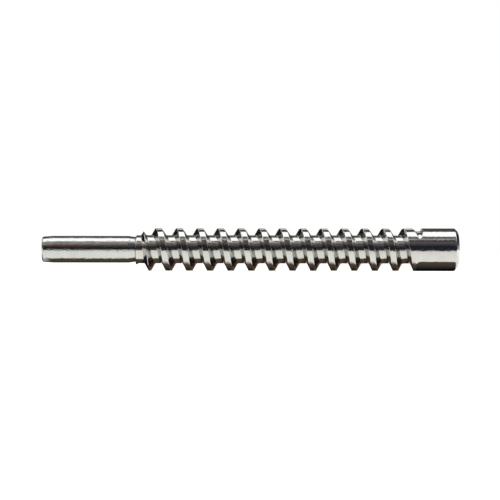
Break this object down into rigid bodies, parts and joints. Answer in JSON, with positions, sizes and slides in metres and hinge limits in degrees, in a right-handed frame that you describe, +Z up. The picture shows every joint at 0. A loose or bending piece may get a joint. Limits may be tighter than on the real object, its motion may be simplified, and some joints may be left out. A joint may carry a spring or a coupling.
{
  "type": "lead screw",
  "caption": "Steel lead screw: coarse right-hand trapezoidal thread, plain chamfered drive head, narrow collar and a journal formed by a bearing sleeve on a stub.",
  "frame": {"origin": "on the screw's axis, halfway between the journal's end and the head's end", "axes": "+X along the axis from the journal to the head, +Z up as the screw lies"},
  "size_m": [0.156, 0.016, 0.016],
  "materials": {
    "ground_steel": "ground bright, with fine turning marks in the thread",
    "sleeve_steel": "turned and polished, slightly streaky",
    "zinc_steel": "zinc plated, satin",
    "spring_steel": "dark oiled spring wire"
  },
  "bodies": {
    "screw": {"screw_shaft": "ground_steel", "thrust_washer": "zinc_steel", "snap_ring": "spring_steel"},
    "sleeve": {"bearing_sleeve": "sleeve_steel"}
  },
  "joints": [
    {"name": "sleeve_spin", "type": "hinge", "parent": "screw", "child": "sleeve", "pos_m": [-0.0605, 0, 0], "axis": [1, 0, 0], "continuous": true}
  ]
}
